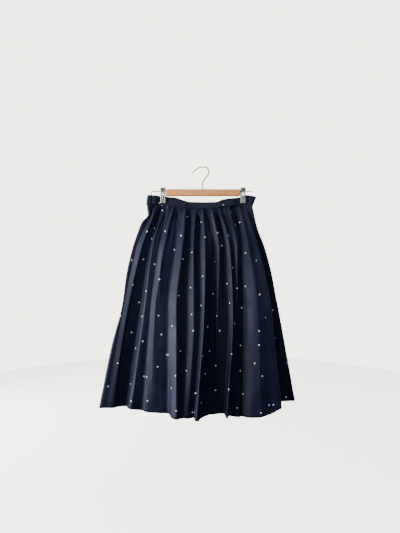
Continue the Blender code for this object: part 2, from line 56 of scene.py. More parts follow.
# The waistband that the panels are sewn to: the heights of its top and foot, and half the gap
# between its two faces at each, which is small where a clip pinches it
PINCHED_GAP = 1.35
Station = namedtuple("Station", "across top foot top_gap foot_gap")
BAND_STATIONS = (
    Station(-176, -88, -117, 5.5, 7.0),
    Station(-166, -87, -117, 5.5, 7.0),
    Station(-148, -88, -117, 5.0, 6.0),
    Station(-134, -90, -118, PINCHED_GAP, PINCHED_GAP),
    Station(-115, -92, -120, PINCHED_GAP, PINCHED_GAP),
    Station(-85, -95.5, -123, 4.5, 7.0),
    Station(-58, -104.5, -127, 6.0, 9.5),
    Station(-38, -109, -130, 6.0, 10.5),
    Station(0, -109.5, -131, 6.0, 11.0),
    Station(40, -109, -130, 6.0, 10.5),
    Station(62, -101.5, -127, 6.0, 9.5),
    Station(90, -97, -123, 4.5, 7.0),
    Station(116, -93.5, -120, PINCHED_GAP, PINCHED_GAP),
    Station(135, -86.5, -117, PINCHED_GAP, PINCHED_GAP),
    Station(150, -88.5, -120, 3.5, 4.0),
    Station(168, -93, -124, 4.0, 4.5),
)

# The height of the hem at each place across it
Hem = namedtuple("Hem", "across height")
HEM_LINE = (
    Hem(-326, -753),
    Hem(-262, -752),
    Hem(-170, -763),
    Hem(-20, -767),
    Hem(30, -763.5),
    Hem(62, -761.5),
    Hem(78, -768.5),
    Hem(120, -770),
    Hem(165, -767),
    Hem(206, -757),
    Hem(238, -740),
    Hem(258, -735),
    Hem(293, -734),
)

# The side seams: the share of the drop, then how far across and how far forward they lie there
Side = namedtuple("Side", "down left_across left_out right_across right_out")
SIDE_SEAMS = (
    Side(0.000, -176.0, 0.0, 156.4, 0.0),
    Side(0.030, -174.0, 0.0, 160.0, 0.0),
    Side(0.050, -172.0, 0.0, 162.5, -1.0),
    Side(0.085, -191.0, -1.0, 167.5, -2.0),
    Side(0.125, -202.0, -2.0, 174.0, -3.0),
    Side(0.210, -221.0, -4.0, 194.0, -6.0),
    Side(0.350, -241.0, -4.0, 217.0, -10.0),
    Side(0.500, -254.0, -4.0, 235.0, -14.0),
    Side(0.700, -287.0, -4.0, 258.0, -18.0),
    Side(1.000, -326.0, -4.0, 293.0, -24.0),
)

# Shares of the drop from waist to hem: where each column of the fold tables is read, how deep a fold is
# held flat by the seam, where it has bulged and opened, where small tucks come and go, where the hem flares
FOLD_LEVELS = (0.0, 0.21, 0.50, 1.0)
SEWN_DEPTH = 0.012
BULGE_DEPTH = 0.03
OPEN_DEPTH = 0.07
TUCK_DEPTH = 0.05
TUCK_FULL = 0.10
TUCK_FADE = 0.26
FLARE_DEPTH = 0.8

# Millimetres: how far a crest stands off the band's line, how near a foot comes to the middle plane, how
# far a foot lies behind its crest in the seam and just below it, a fold's bulge, and its rounded lip
CREST_STAND = 0.4
FOOT_LEAST = 2.4
FOOT_LEAST_HEM = -30.0
SEWN_DROP = 0.7
PRESSED_DROP = 2.6
BULGE = 2.2
LIP = 1.5
LIP_HEM = 7.0
LIP_FALL = 2.0

# Each front fold, seen from the left: a foot, a lit flank that rises to a crest, a slope behind it.
# waist to hem: the crest across; out: the crest forward; width: from foot to crest;
# drop: how far the foot lies behind the crest
Fold = namedtuple("Fold", "waist upper middle hem out_upper out_middle out_hem "
                          "width_waist width_upper width_middle width_hem "
                          "drop_upper drop_middle drop_hem")
FRONT_FOLDS = (
    Fold(-140, -188, -230, -283, 14, 13, 8, 12, 20, 17, 18, 10, 5, 1),
    Fold(-115, -155, -179, -222, 18, 20, 12, 12, 10, 14, 20, 12, 18, 22),
    Fold(-92, -118, -145, -164, 26, 29, 17, 18, 19, 17, 26, 10, 8.5, 12),
    Fold(-48, -62, -79, -79, 33, 44, 68, 28, 24, 28, 28, 12, 16, 48),
    Fold(-22, -28, -26, -44, 31, 46, 58, 22, 17, 21, 14, 12, 13, 2),
    Fold(3, 8, 4, -20, 34, 54, 79, 21, 24, 11, 7, 16, 15, 28),
    Fold(29, 51, 47, 30, 29, 36, 33, 22, 14, 12, 9, 11, 9, 0.5),
    Fold(53, 84, 92, 72, 31, 41, 60, 20, 17, 13, 7, 14, 11, 30),
    Fold(84, 106, 106, 112, 30, 34, 37, 26, 12, 8, 30, 7, 3, 7),
    Fold(112, 144, 168, 178, 30, 45, 52, 23, 34, 58, 62, 13, 26, 22),
    Fold(130, 166, 203, 236, 26, 45, 47, 10, 10, 16, 24, 1, 0.5, 1),
    Fold(146, 184, 222, 258, 8, 8, -3, 8, 6, 8, 10, 3, 3, 3),
)

# Metres: a small tuck's height and the room it wants, the selvedge, the turn away from a side seam
TUCK_RISE = 0.0016
TUCK_ROOM = 0.014
SELVEDGE = 0.0012
SHOULDER = 0.004
SHOULDER_LEAST = 0.004

# Shares: of a fold's width and drop for the edge of its flank, of the room and fall for its lip,
# and of the room for the turn away from a side seam
EDGE_REACH = 0.52
EDGE_FALL = 0.50
EDGE_FALL_HEM = 0.24
LIP_ROOM = 0.2
LIP_FALL_ROOM = 0.3
SHOULDER_ROOM = 0.45

# Share of the way to the next foot, share of the fall to it, and which way a small tuck goes there
SLOPE_POINTS = ((0.28, 0.38, -1), (0.62, 0.76, 1))

# Columns of the mesh between the points from a side seam to the first fold, and between those of a fold
LEAD_SPANS = (1, 3, 6)
FOLD_SPANS = (7, 7, 2, 4, 5, 6)
LEAD_COLUMNS = sum(LEAD_SPANS)
FOLD_COLUMNS = sum(FOLD_SPANS)


def curve_through(keys, values, place):
    """Value at place on a smooth curve that never overshoots its own points."""
    last = len(keys) - 1
    if place <= keys[0]:
        return values[0]
    if place >= keys[last]:
        return values[last]
    slopes = [(values[i + 1] - values[i]) / (keys[i + 1] - keys[i]) for i in range(last)]
    lean = [slopes[0]]
    for before, after in zip(slopes, slopes[1:]):
        lean.append(0.0 if before * after <= 0 else 2 * before * after / (before + after))
    lean.append(slopes[-1])
    i = max(n for n in range(last) if keys[n] <= place)
    step = keys[i + 1] - keys[i]
    t = (place - keys[i]) / step
    return ((1 + 2 * t) * (1 - t) ** 2 * values[i] + t * (1 - t) ** 2 * step * lean[i]
            + t * t * (3 - 2 * t) * values[i + 1] + t * t * (t - 1) * step * lean[i + 1])


def smooth(t):
    t = min(max(t, 0.0), 1.0)
    return t * t * (3 - 2 * t)


def mix(a, b, t):
    return a + (b - a) * t


def band_value(column, across):
    """One measure of the waistband at a place across it."""
    keys = [station.across * MM for station in BAND_STATIONS]
    return curve_through(keys, [getattr(station, column) * MM for station in BAND_STATIONS], across)


def side_value(column, down):
    """One measure of the side seams at a share of the drop."""
    keys = [side.down for side in SIDE_SEAMS]
    return curve_through(keys, [getattr(side, column) * MM for side in SIDE_SEAMS], down)


def hem_height(across):
    keys = [hem.across * MM for hem in HEM_LINE]
    return curve_through(keys, [hem.height * MM for hem in HEM_LINE], across)


def spline(points, spans, first_lean, last_lean):
    """Points along a curve through the given ones, with spans[i] steps between two of them."""
    chain = [points[0] - first_lean, *points, points[-1] + last_lean]
    found = [points[0].copy()]
    for i in range(1, len(chain) - 2):
        p0, p1, p2, p3 = chain[i - 1:i + 3]
        d1, d2, d3 = [max(math.sqrt((b - a).length), 1e-6) for a, b in ((p0, p1), (p1, p2), (p2, p3))]
        lean1 = (p1 - p0) / d1 - (p2 - p0) / (d1 + d2) + (p2 - p1) / d2
        lean2 = (p2 - p1) / d2 - (p3 - p1) / (d2 + d3) + (p3 - p2) / d3
        steps = spans[(i - 1) % len(spans)]
        for n in range(1, steps + 1):
            t = n / steps
            found.append((1 + 2 * t) * (1 - t) ** 2 * p1 + t * (1 - t) ** 2 * d2 * lean1
                         + t * t * (3 - 2 * t) * p2 + t * t * (t - 1) * d2 * lean2)
    return found


def fold_at(fold, down):
    """A fold's crest, width, drop, edge and reach forward at one share of the drop, in metres."""
    crest = curve_through(FOLD_LEVELS, (fold.waist, fold.upper, fold.middle, fold.hem), down)
    opened = smooth(down / OPEN_DEPTH)
    lower = smooth((down - FOLD_LEVELS[1]) / (1 - FOLD_LEVELS[1]))
    width = curve_through(FOLD_LEVELS[1:], (fold.width_upper, fold.width_middle, fold.width_hem), down)
    drop = curve_through(FOLD_LEVELS[1:], (fold.drop_upper, fold.drop_middle, fold.drop_hem), down)
    width = mix(fold.width_waist, width, smooth((down - OPEN_DEPTH) / (FOLD_LEVELS[1] - OPEN_DEPTH)))
    drop = mix(mix(SEWN_DROP, PRESSED_DROP, smooth(down / SEWN_DEPTH)), drop, opened)
    out = curve_through(FOLD_LEVELS, (0.0, fold.out_upper, fold.out_middle, fold.out_hem), down)
    out += (band_value("foot_gap", crest * MM) / MM + CREST_STAND) * (1 - smooth(down / FOLD_LEVELS[1]))
    out += BULGE * smooth(down / BULGE_DEPTH) * (1 - down)
    drop = min(drop, out - mix(FOOT_LEAST, FOOT_LEAST_HEM, lower))
    return crest * MM, width * MM, drop * MM, EDGE_REACH * width * MM, out * MM


def side_turn(side, inward, neighbour, opened):
    """The point where a panel turns away from its side seam."""
    across, out = side
    at_band = band_value("foot_gap", across)
    soft_across = min(SHOULDER_ROOM * abs(neighbour[0] - across), SHOULDER)
    soft_out = max(neighbour[1] - out, SHOULDER_LEAST)
    return across + inward * mix(at_band, soft_across, opened), out + mix(at_band, soft_out, opened)


def panel_section(folds, down, facing):
    """Plan of one panel at one share of its drop: crests, feet and the small tucks between them."""
    sides = [(side_value(name + "_across", down), side_value(name + "_out", down) * -facing)
             for name in ("left", "right")]
    opened = smooth(down / FOLD_LEVELS[1])
    tuck = TUCK_RISE * smooth(down / TUCK_DEPTH) * (1 - smooth((down - TUCK_FULL) / (TUCK_FADE - TUCK_FULL)))
    flare = smooth((down - FLARE_DEPTH) / (1 - FLARE_DEPTH))
    lip = mix(LIP, LIP_HEM, flare) * MM
    fall = mix(EDGE_FALL, EDGE_FALL_HEM, flare)
    marks = [fold_at(fold, down) for fold in folds]
    feet = [(crest - width, out - drop) for crest, width, drop, edge, out in marks]
    first_turn = side_turn(sides[0], 1, feet[0], opened)
    last_turn = side_turn(sides[1], -1, (marks[-1][0], marks[-1][4]), opened)
    points = [first_turn]
    for (crest, width, drop, edge, out), foot, following in zip(marks, feet, [*feet[1:], last_turn]):
        points += [foot, (crest - edge, out - fall * drop), (crest, out)]
        room = following[0] - crest
        ripple = tuck * min(room / TUCK_ROOM, 1.0)
        lip_fall = min(LIP_FALL * MM, LIP_FALL_ROOM * (out - following[1]))
        points.append((crest + min(lip, LIP_ROOM * room), out - lip_fall))
        for share, sink, sign in SLOPE_POINTS:
            points.append((crest + share * room, mix(out, following[1], sink) + sign * ripple))
    points.append(last_turn)
    ends = [[(across, out + SEWN_GAP), (across, out + SEWN_GAP + SELVEDGE)] for across, out in sides]
    points = [*ends[0], *points, *ends[1][::-1]]
    knots = [Vector((across, facing * out)) for across, out in points]
    selvedge = Vector((0.0, facing * SELVEDGE))
    return spline(knots, (*LEAD_SPANS, *(FOLD_SPANS * len(folds)), *LEAD_SPANS[1::-1]), selvedge, -selvedge)


def panel_points(folds, facing, rows):
    """Grid of points, rows by columns, and each column's length along its row."""
    sections = [panel_section(folds, down, facing) for down in rows]
    top = [band_value("foot", point.x) - SEWN_GAP for point in sections[0]]
    bottom = [hem_height(point.x) for point in sections[-1]]
    grid = np.array([[(p.x, p.y, mix(top[i], bottom[i], down)) for i, p in enumerate(section)]
                     for down, section in zip(rows, sections)])
    steps = np.linalg.norm(np.diff(grid[:, :, :2], axis=1), axis=2)
    along = np.concatenate([np.zeros((len(rows), 1)), np.cumsum(steps, axis=1)], axis=1)
    return grid, along


WEAVE_JOIN = 0.72


def panel_weave(grid, along, rows, fold_count):
    """Each fold's place in the flat cloth: turned with the fold, joined to its neighbour low down."""
    join = int(WEAVE_JOIN * len(rows))
    weave = np.zeros((fold_count, *along.shape, 2))
    shift = np.zeros(2)
    for i in range(fold_count):
        foot = LEAD_COLUMNS + i * FOLD_COLUMNS
        crest = foot + FOLD_SPANS[0] + FOLD_SPANS[1]
        path = grid[:, crest]
        step = np.linalg.norm(np.diff(path, axis=0), axis=1)
        length = np.concatenate([[0.0], np.cumsum(step)])
        lean = np.arctan(np.gradient(path[:, 0], length))
        aside = along - along[:, crest:crest + 1]
        weave[i, :, :, 0] = aside * np.cos(lean)[:, None]
        weave[i, :, :, 1] = length[:, None] + aside * np.sin(lean)[:, None]
        if i:
            shift = weave[i - 1, join, foot] - weave[i, join, foot]
        weave[i] += shift
    return weave


# A secondary fold, as three points in the front view: ridges have a height, troughs a negative one
Crease = namedtuple("Crease", "x1 z1 x2 z2 x3 z3 width height")
CREASE_STEPS = 12


def outward(grid, facing):
    """The direction away from the skirt's middle at every point of a sheet."""
    across = np.gradient(grid, axis=1)
    down = np.gradient(grid, axis=0)
    normal = np.cross(down, across) * -facing
    return normal / np.maximum(np.linalg.norm(normal, axis=2, keepdims=True), 1e-9)


def raise_creases(grid, creases, facing, seed):
    """Soft uneven ridges and troughs along bowed lines in the front view."""
    flat = grid[:, :, ::2]
    rise = np.zeros(grid.shape[:2])
    for n, crease in enumerate(creases):
        near = np.full(grid.shape[:2], 1e9)
        share = np.zeros(grid.shape[:2])
        knots = np.array(crease[:6]).reshape(3, 2) * MM
        bow = 2 * knots[1] - (knots[0] + knots[2]) / 2
        t = np.linspace(0, 1, CREASE_STEPS + 1)[:, None]
        path = (1 - t) ** 2 * knots[0] + 2 * t * (1 - t) * bow + t * t * knots[2]
        for k in range(CREASE_STEPS):
            a, b = path[k], path[k + 1]
            along = np.clip(((flat - a) @ (b - a)) / ((b - a) @ (b - a)), 0, 1)
            distance = np.linalg.norm(flat - a - along[:, :, None] * (b - a), axis=2)
            closer = distance < near
            near = np.where(closer, distance, near)
            share = np.where(closer, (k + along) / CREASE_STEPS, share)
        fade = np.sin(math.pi * np.clip(share, 0.02, 0.98)) ** 0.6
        uneven = 1 + 0.30 * np.sin(share * 9.0 + n * 2.1 + seed) * np.sin(share * 4.3 + n)
        rise += crease.height * MM * fade * uneven * np.exp(-(near / (crease.width * MM)) ** 2)
    return grid + outward(grid, facing) * rise[:, :, None]


# Gathers: a middle value and how far it wanders, for the reach as a share of the drop, and in metres
# for the width and the height
GATHER_REACH = (0.10, 0.07)
GATHER_WIDTH = (0.0025, 0.0009)
GATHER_HEIGHT = (0.0031, 0.0012)
GATHER_START = 0.007
GATHER_IN_SEAM = 0.06


def wandering(sizes, turn):
    return sizes[0] + sizes[1] * math.sin(turn)


def raise_gathers(grid, along, rows, facing, count, seed):
    """Small tucks pressed into the waist seam: each fades a hand's width or less below it."""
    rise = np.zeros(grid.shape[:2])
    width = along[0, -1]
    downs = np.array(rows)[:, None]
    for n in range(count):
        wander = math.sin(n * 2.399 + seed) * 0.5 + math.sin(n * 5.13 + seed * 2) * 0.3
        place = width * (n + 0.5 + 0.6 * wander) / count
        reach = wandering(GATHER_REACH, n * 1.7 + seed)
        narrow = wandering(GATHER_WIDTH, n * 3.1 + seed)
        height = wandering(GATHER_HEIGHT, n * 4.7 + seed)
        fade = np.clip(1 - downs / reach, 0, 1) ** 1.2 * np.clip(downs / GATHER_START + GATHER_IN_SEAM, 0, 1)
        near = (along[0][None, :] - place) / (narrow * (1 + 5 * downs))
        rise += height * fade * np.where(near > 0, np.exp(-(near / 0.55) ** 2), np.exp(-(near / 1.3) ** 2))
    return grid + outward(grid, facing) * (rise - rise.mean(axis=1, keepdims=True))[:, :, None]


WORN_SIZE = 0.075
WORN_HEIGHT = 0.0011


def soften(grid, facing, size, amount, seed):
    """Broad unevenness of cloth that has been worn and hung."""
    rise = np.zeros(grid.shape[:2])
    for r in range(grid.shape[0]):
        for c in range(grid.shape[1]):
            place = Vector((grid[r, c, 0] / size, seed, grid[r, c, 2] / (2.2 * size)))
            rise[r, c] = noise.noise(place) + 0.5 * noise.noise(place * 2.3)
    return grid + outward(grid, facing) * (amount * rise)[:, :, None]


def sheet_mesh(name, grid, faces_uv, facing, rim=None):
    """A sheet of quads with the map "cloth"; faces_uv(column, r, c) gives a corner's place in the weave."""
    height, width = grid.shape[:2]
    points = [tuple(point) for row in grid for point in row]
    quads = []
    corners = []
    edges = []
    for r in range(height - 1):
        for c in range(width - 1):
            order = ((r, c), (r + 1, c), (r + 1, c + 1), (r, c + 1))
            if facing > 0:
                order = order[::-1]
            quads.append([a * width + b for a, b in order])
            corners += [faces_uv(c, a, b) for a, b in order]
            if rim is not None:
                edges += [rim[a, b] for a, b in order]
    mesh = bpy.data.meshes.new(name)
    mesh.from_pydata(points, [], quads)
    mesh.uv_layers.new(name="cloth").data.foreach_set("uv", np.array(corners, dtype=float).ravel())
    if rim is not None:
        mesh.uv_layers.new(name="rim").data.foreach_set("uv", np.array(edges, dtype=float).ravel())
    mesh.shade_smooth()
    made = bpy.data.objects.new(name, mesh)
    bpy.context.scene.collection.objects.link(made)
    return made


def apply_modifiers(made):
    for modifier in list(made.modifiers):
        with bpy.context.temp_override(object=made, active_object=made, selected_objects=[made]):
            bpy.ops.object.modifier_apply(modifier=modifier.name)


def bevel(made, width, segments, sharpest=30):
    """Rounds the edges that turn by more than an angle in degrees."""
    edge = made.modifiers.new("edge", "BEVEL")
    edge.width = width
    edge.segments = segments
    edge.limit_method = "ANGLE"
    edge.angle_limit = math.radians(sharpest)
    apply_modifiers(made)


def thicken(made, wall, rounding=0.0):
    solid = made.modifiers.new("wall", "SOLIDIFY")
    solid.thickness = wall
    solid.offset = 0.0
    solid.use_rim = True
    apply_modifiers(made)
    if rounding:
        bevel(made, rounding, 2, 60)
    made.data.shade_smooth()


def panel(name, folds, facing, creases, gather_count, seed):
    """A whole panel, and how wide its cloth is along the hem."""
    rows = [(n / PANEL_ROWS) ** ROW_CROWDING for n in range(PANEL_ROWS + 1)]
    grid, along = panel_points(folds, facing, rows)
    weave = panel_weave(grid, along, rows, len(folds))
    rim = np.stack([grid[0, :, 2] - grid[:, :, 2], grid[:, :, 2] - grid[-1, :, 2]], axis=2)
    grid = raise_gathers(grid, along, rows, facing, gather_count, seed)
    grid = raise_creases(grid, creases, facing, seed)
    grid = soften(grid, facing, WORN_SIZE, WORN_HEIGHT, seed)

    def place_in_weave(column, r, c):
        fold = min(max((column - LEAD_COLUMNS) // FOLD_COLUMNS, 0), len(folds) - 1)
        return weave[fold, r, c]

    made = sheet_mesh(name, grid, place_in_weave, facing, rim)
    thicken(made, CLOTH_WALL)
    return made, float(along[-1, -1])


def new_material(name):
    made = bpy.data.materials.new(name)
    made.use_nodes = True
    tree = made.node_tree
    return made, tree, tree.nodes["Principled BSDF"]


def node(tree, kind, inputs=None, **settings):
    made = tree.nodes.new(kind)
    for key, value in settings.items():
        setattr(made, key, value)
    for key, value in (inputs or {}).items():
        if isinstance(value, bpy.types.NodeSocket):
            tree.links.new(value, made.inputs[key])
        else:
            made.inputs[key].default_value = value
    return made


def calc(tree, operation, *values):
    return node(tree, "ShaderNodeMath", dict(enumerate(values)), operation=operation).outputs[0]


def ramp(tree, value, low, high, first=0.0, last=1.0):
    inputs = {"Value": value, "From Min": low, "From Max": high, "To Min": first, "To Max": last}
    return node(tree, "ShaderNodeMapRange", inputs, interpolation_type="SMOOTHSTEP").outputs["Result"]


def blend(tree, share, first, last):
    return node(tree, "ShaderNodeMix", {0: share, 6: first, 7: last}, data_type="RGBA").outputs[2]


def bump(tree, height, distance, strength, normal=None):
    inputs = {"Height": height, "Distance": distance, "Strength": strength}
    if normal:
        inputs["Normal"] = normal
    return node(tree, "ShaderNodeBump", inputs).outputs["Normal"]


def noise_of(tree, vector, scale, detail=2.0):
    inputs = {"Vector": vector, "Scale": scale, "Detail": detail}
    return node(tree, "ShaderNodeTexNoise", inputs).outputs["Fac"]


# The cloth in metres: its thread, the two steps from one dot to the next, a dot's radius and how much of
# a step it may lie off its place, the hem's stitches and how far they lie from the edge
THREAD = 0.00042
DOT_DOWN = Vector((0.0300, 0.0600))
DOT_SIDE = Vector((-0.0445, 0.0360))
DOT_RADIUS = 0.0023
DOT_JITTER = 0.55
STITCH_LENGTH = 0.0028
HEM_DEPTH = 0.022
NAVY = (0.0034, 0.0049, 0.0172, 1)
NAVY_WORN = (0.0051, 0.0072, 0.0226, 1)
NAVY_SLUB = (0.0075, 0.0100, 0.0230, 1)
NAVY_STITCH = (0.0100, 0.0125, 0.0260, 1)
DOT_WHITE = (0.86, 0.87, 0.88, 1)
DOT_GREY = (0.70, 0.72, 0.75, 1)


def dot_mask(tree, place, shift):
    """White where a dot lies: a slanted lattice on the flat cloth, each dot a little off its place."""
    parts = node(tree, "ShaderNodeSeparateXYZ", {0: place})
    u = calc(tree, "ADD", parts.outputs[0], shift[0])
    v = calc(tree, "ADD", parts.outputs[1], shift[1])
    area = DOT_DOWN.x * DOT_SIDE.y - DOT_DOWN.y * DOT_SIDE.x
    i = calc(tree, "SUBTRACT", calc(tree, "MULTIPLY", u, DOT_SIDE.y / area),
             calc(tree, "MULTIPLY", v, DOT_SIDE.x / area))
    j = calc(tree, "SUBTRACT", calc(tree, "MULTIPLY", v, DOT_DOWN.x / area),
             calc(tree, "MULTIPLY", u, DOT_DOWN.y / area))
    whole = [calc(tree, "ROUND", i), calc(tree, "ROUND", j)]
    cell = node(tree, "ShaderNodeCombineXYZ", {0: whole[0], 1: whole[1]}).outputs[0]
    luck = node(tree, "ShaderNodeTexWhiteNoise", {"Vector": cell}, noise_dimensions="3D").outputs["Color"]
    shake = node(tree, "ShaderNodeSeparateXYZ", {0: luck})
    step = []
    for n, value in enumerate((i, j)):
        move = calc(tree, "MULTIPLY", calc(tree, "SUBTRACT", shake.outputs[n], 0.5), DOT_JITTER)
        step.append(calc(tree, "SUBTRACT", calc(tree, "SUBTRACT", value, whole[n]), move))
    squares = []
    for side in ("x", "y"):
        away = calc(tree, "ADD", calc(tree, "MULTIPLY", step[0], getattr(DOT_DOWN, side)),
                    calc(tree, "MULTIPLY", step[1], getattr(DOT_SIDE, side)))
        squares.append(calc(tree, "MULTIPLY", away, away))
    away = calc(tree, "SQRT", calc(tree, "ADD", *squares))
    fray = calc(tree, "MULTIPLY", calc(tree, "SUBTRACT", noise_of(tree, place, 900.0), 0.5), 0.0007)
    return ramp(tree, calc(tree, "ADD", away, fray), DOT_RADIUS + 0.0003, DOT_RADIUS - 0.0005)


def stitch_line(tree, place, edge, depth):
    """A row of stitches at one depth from an edge: short dips along the cloth's width."""
    across = node(tree, "ShaderNodeSeparateXYZ", {0: place}).outputs[0]
    near = ramp(tree, calc(tree, "ABSOLUTE", calc(tree, "SUBTRACT", edge, depth)), 0.0006, 0.0002)
    dash = ramp(tree, calc(tree, "FRACT", calc(tree, "MULTIPLY", across, 1 / STITCH_LENGTH)), 0.22, 0.34)
    return calc(tree, "MULTIPLY", near, dash)


def cloth_material(name, shift=(0.0, 0.0), dots=True, seams=()):
    """Woven navy; seams lists which edge a row of stitches follows, and how far from it."""
    made, tree, shader = new_material(name)
    place = node(tree, "ShaderNodeUVMap", uv_map="cloth").outputs[0]
    parts = node(tree, "ShaderNodeSeparateXYZ", {0: place})
    warp = calc(tree, "SINE", calc(tree, "MULTIPLY", parts.outputs[0], math.tau / THREAD))
    weft = calc(tree, "SINE", calc(tree, "MULTIPLY", parts.outputs[1], math.tau / (1.3 * THREAD)))
    weave = calc(tree, "ADD", warp, calc(tree, "MULTIPLY", weft, 0.5))
    long_way = node(tree, "ShaderNodeMapping", {"Vector": place, "Scale": (900.0, 60.0, 1.0)}).outputs[0]
    slub = noise_of(tree, long_way, 1.0)
    cloud = noise_of(tree, place, 22.0, 3.0)
    relief = bump(tree, calc(tree, "ADD", weave, calc(tree, "MULTIPLY", slub, 2.5)), 0.00003, 0.5)
    relief = bump(tree, noise_of(tree, place, 55.0), 0.0010, 0.35, relief)
    tint = blend(tree, ramp(tree, cloud, 0.35, 0.7), NAVY, NAVY_WORN)
    tint = blend(tree, calc(tree, "MULTIPLY", slub, 0.35), tint, NAVY_SLUB)
    rough = ramp(tree, cloud, 0.3, 0.7, 0.53, 0.62)
    if dots:
        mask = dot_mask(tree, place, shift)
        tint = blend(tree, mask, tint, blend(tree, slub, DOT_WHITE, DOT_GREY))
        rough = calc(tree, "ADD", rough, calc(tree, "MULTIPLY", mask, 0.35))
        relief = bump(tree, mask, 0.0004, 0.8, relief)
    rim = node(tree, "ShaderNodeUVMap", uv_map="rim").outputs[0]
    edges = node(tree, "ShaderNodeSeparateXYZ", {0: rim})
    for side, depth in seams:
        line = stitch_line(tree, place, edges.outputs[side], depth)
        tint = blend(tree, calc(tree, "MULTIPLY", line, 0.3), tint, NAVY_STITCH)
        relief = bump(tree, calc(tree, "MULTIPLY", line, -1.0), 0.0006, 0.8, relief)
    tree.links.new(tint, shader.inputs["Base Color"])
    tree.links.new(rough, shader.inputs["Roughness"])
    tree.links.new(relief, shader.inputs["Normal"])
    shader.inputs["Specular IOR Level"].default_value = 0.21
    shader.inputs["Specular Tint"].default_value = (0.78, 0.79, 1.0, 1)
    return made


# The front's gathers and its creases beside the main folds
FRONT_SEED = 0.7
FRONT_GATHERS = 32
FRONT_CREASES = (
    Crease(-88, -124, -93, -142, -98, -166, 4, 3.0),
    Crease(-126, -236, -129, -320, -134, -410, 5, 2.2),
    Crease(-79, -480, -74, -560, -75, -620, 4, 2.2),
    Crease(140, -150, 158, -190, 176, -235, 8, 1.8),
    Crease(-100, -126, -112, -160, -130, -215, 5, 1.8),
    Crease(-200, -330, -222, -440, -250, -560, 12, -1.4),
    Crease(-176, -470, -190, -560, -200, -660, 8, 1.4),
    Crease(-140, -560, -146, -640, -148, -730, 9, 1.4),
    Crease(-95, -150, -99, -200, -108, -260, 4, -1.6),
    Crease(24, -150, 27, -230, 28, -330, 5, 1.5),
    Crease(66, -260, 68, -350, 66, -450, 6, -1.3),
    Crease(20, -430, 14, -540, 8, -680, 8, 1.4),
    Crease(150, -300, 158, -430, 150, -560, 12, 1.6),
    Crease(140, -560, 152, -640, 148, -740, 12, 1.6),
    Crease(126, -330, 134, -450, 136, -580, 8, -1.4),
    Crease(208, -470, 220, -580, 228, -690, 9, -1.4),
)

front_dotted = cloth_material("navy_sateen_front", seams=((1, HEM_DEPTH),))
front, front_width = panel("skirt_front", FRONT_FOLDS, -1, FRONT_CREASES, FRONT_GATHERS, FRONT_SEED)
front.data.materials.append(front_dotted)
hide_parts("front_panel")
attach(front, "root")


# Back panel: the second width of the same cloth, gathered and hemmed alike. The photo hides it,
# so its folds are spaced by a rule, flatter than the front's, with creases like those in front.
BACK_FOLD_COUNT = 9

# The crests across: where the first and the last would lie, how far each wanders, and its phase
Crests = namedtuple("Crests", "first last wander phase")
BACK_CRESTS = {
    "waist": Crests(-160, 146, 4, 0.0),
    "upper": Crests(-212, 186, 6, 0.0),
    "middle": Crests(-244, 230, 8, 0.3),
    "hem": Crests(-306, 276, 11, 0.7),
}

# The other columns: a middle value, how far it wanders and its phase, and whether it fades to the sides
Middle = namedtuple("Middle", "value wander phase fades")
BACK_SIZES = {
    "out_upper": Middle(20, 2, 1.3, True),
    "out_middle": Middle(29, 2, 1.3, True),
    "out_hem": Middle(39, 3, 1.3, True),
    "width_waist": Middle(22, 3, 0.5, False),
    "width_upper": Middle(15, 3, 0.5, False),
    "width_middle": Middle(19, 4, 0.7, False),
    "width_hem": Middle(26, 6, 0.9, False),
    "drop_upper": Middle(8, 1.5, 1.3, False),
    "drop_middle": Middle(10, 2, 1.3, False),
    "drop_hem": Middle(12, 3, 1.3, False),
}


def uneven(number, share):
    """A value between -1 and 1 that looks unordered from one fold to the next."""
    return math.sin(number * 2.399 + share * 5.1) * math.cos(number * 1.17 + share)


def back_folds():
    folds = []
    for i in range(BACK_FOLD_COUNT):
        place = (i + 0.75) / (BACK_FOLD_COUNT + 0.4)
        spread = math.sin(math.pi * place) ** 0.35
        columns = {}
        for column, crests in BACK_CRESTS.items():
            columns[column] = mix(crests.first, crests.last, place) + crests.wander * uneven(i, crests.phase)
        for column, size in BACK_SIZES.items():
            middle = size.value * (spread if size.fades else 1.0)
            columns[column] = middle + size.wander * uneven(i, size.phase)
        folds.append(Fold(**columns))
    return tuple(folds)


BACK_SEED = 2.9
BACK_GATHERS = 30
BACK_CREASES = (
    Crease(-150, -130, -172, -180, -196, -250, 7, 2.2),
    Crease(-104, -128, -118, -180, -128, -240, 6, 1.8),
    Crease(-60, -135, -66, -220, -70, -330, 6, -1.6),
    Crease(-20, -138, -24, -220, -22, -340, 6, 1.6),
    Crease(30, -138, 36, -230, 40, -340, 6, -1.5),
    Crease(72, -132, 84, -190, 92, -270, 6, 1.8),
    Crease(118, -126, 136, -180, 152, -250, 7, 2.2),
    Crease(-214, -360, -236, -500, -262, -640, 12, 1.8),
    Crease(-150, -420, -160, -560, -176, -700, 11, -1.8),
    Crease(-78, -440, -86, -560, -92, -700, 10, 1.6),
    Crease(-4, -400, 2, -540, 0, -700, 11, -1.7),
    Crease(64, -420, 72, -560, 80, -700, 10, 1.7),
    Crease(138, -380, 150, -520, 164, -680, 12, -1.8),
    Crease(196, -380, 212, -500, 228, -640, 10, 1.6),
)

back_dotted = cloth_material("navy_sateen_back", shift=(0.013, 0.021), seams=((1, HEM_DEPTH),))
back, back_width = panel("skirt_back", back_folds(), 1, BACK_CREASES, BACK_GATHERS, BACK_SEED)
back.data.materials.append(back_dotted)
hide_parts("back_panel")
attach(back, "root")


